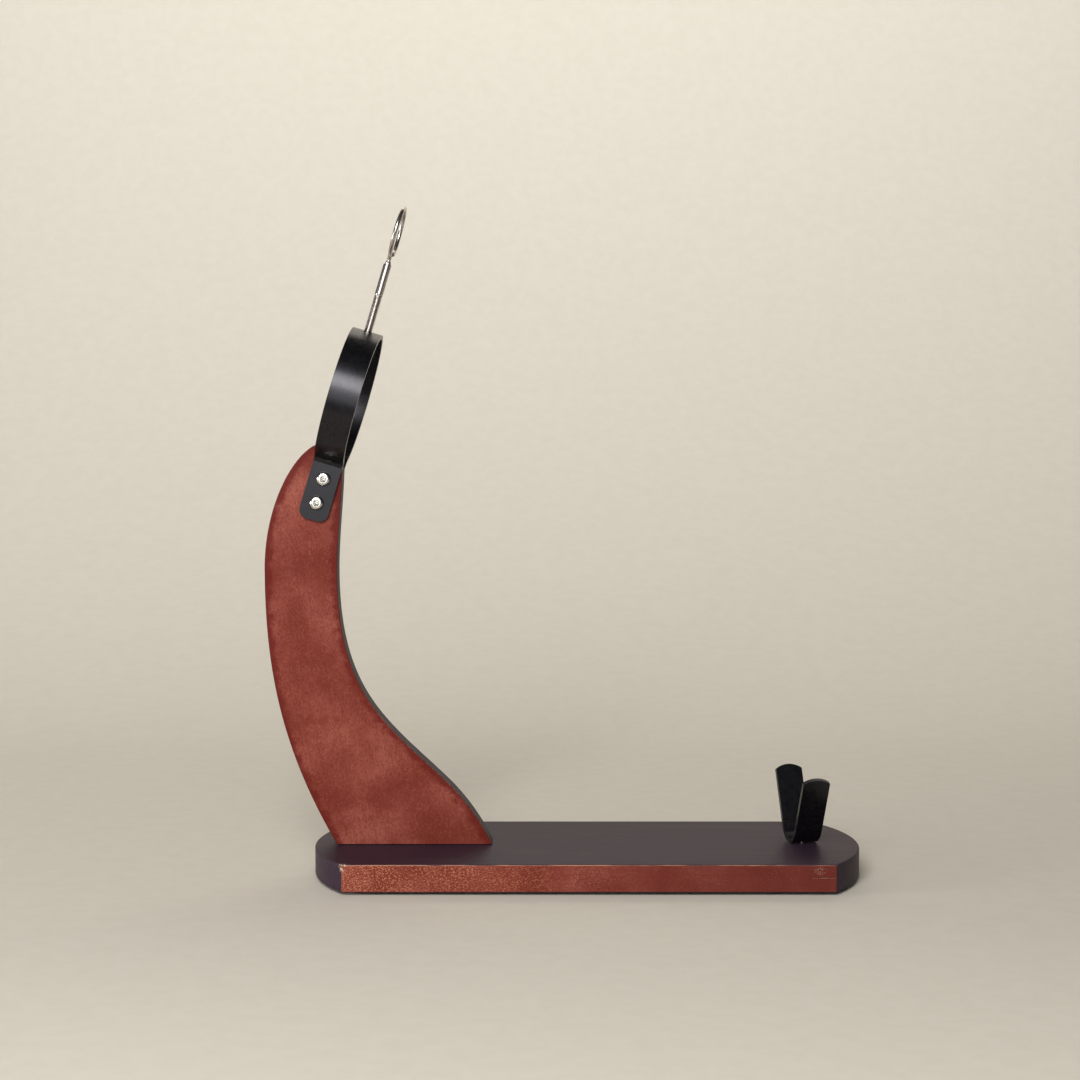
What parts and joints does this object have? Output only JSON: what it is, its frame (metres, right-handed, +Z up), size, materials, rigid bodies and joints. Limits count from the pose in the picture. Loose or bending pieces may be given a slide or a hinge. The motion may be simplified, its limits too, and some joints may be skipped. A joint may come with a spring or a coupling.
{
  "type": "ham holder stand",
  "caption": "Board stand for a whole cured ham: a curved plank upright with a leaning steel hoop and a ring-headed clamp screw, and a steel cradle at the other end.",
  "frame": {"origin": "middle of the outline on the surface the stand rests on", "axes": "+Z up, +X from the upright along the board to the cradle, Y across the board, -Y the side with the bolt heads"},
  "size_m": [0.433, 0.155, 0.4859],
  "materials": {
    "stained_wood": "mahogany-stained wood, satin varnish",
    "dowel_wood": "plain beech",
    "black_paint": "black satin-gloss stove paint on bent steel strap",
    "zinc_plated_steel": "bright zinc plate",
    "bright_steel": "polished nickel-plated steel",
    "rubber": "matt black rubber"
  },
  "bodies": {
    "stand": {"base_board": "stained_wood", "upright": "stained_wood", "upright_dowel_1": "dowel_wood", "upright_dowel_2": "dowel_wood", "upright_screw_1": "zinc_plated_steel", "upright_screw_2": "zinc_plated_steel", "upright_screw_3": "zinc_plated_steel", "rubber_foot_left_front": "rubber", "rubber_foot_left_back": "rubber", "rubber_foot_right_front": "rubber", "rubber_foot_right_back": "rubber", "clamp_strap": "black_paint", "weld_nut": "black_paint", "strap_bolt_upper": "zinc_plated_steel", "strap_bolt_lower": "zinc_plated_steel", "strap_washer_upper": "zinc_plated_steel", "strap_washer_lower": "zinc_plated_steel", "strap_nut_upper": "zinc_plated_steel", "strap_nut_lower": "zinc_plated_steel", "cradle_spike": "bright_steel", "cradle_washer": "zinc_plated_steel", "cradle_nut": "zinc_plated_steel"},
    "screw_tip": {"clamp_screw_tip": "bright_steel"},
    "clamp_screw": {"clamp_screw_rod": "bright_steel", "ring_handle": "bright_steel"},
    "cradle": {"cradle_strap": "black_paint"}
  },
  "joints": [
    {"name": "clamp_advance", "type": "slide", "parent": "stand", "child": "screw_tip", "axis": [0.2857, 0, 0.9583], "range_m": [-0.03, 0.015]},
    {"name": "clamp_turn", "type": "hinge", "parent": "screw_tip", "child": "clamp_screw", "pos_m": [-0.1413, 0, 0.3963], "axis": [0.2857, 0, 0.9583], "range_deg": [-10800, 5400]},
    {"name": "cradle_swivel", "type": "hinge", "parent": "stand", "child": "cradle", "pos_m": [0.1755, 0, 0.0226], "axis": [0, 0, 1], "continuous": true}
  ],
  "couplings": [
    {"joint": "clamp_advance", "follows": "clamp_turn", "m_per_rad": 0.00015915}
  ]
}
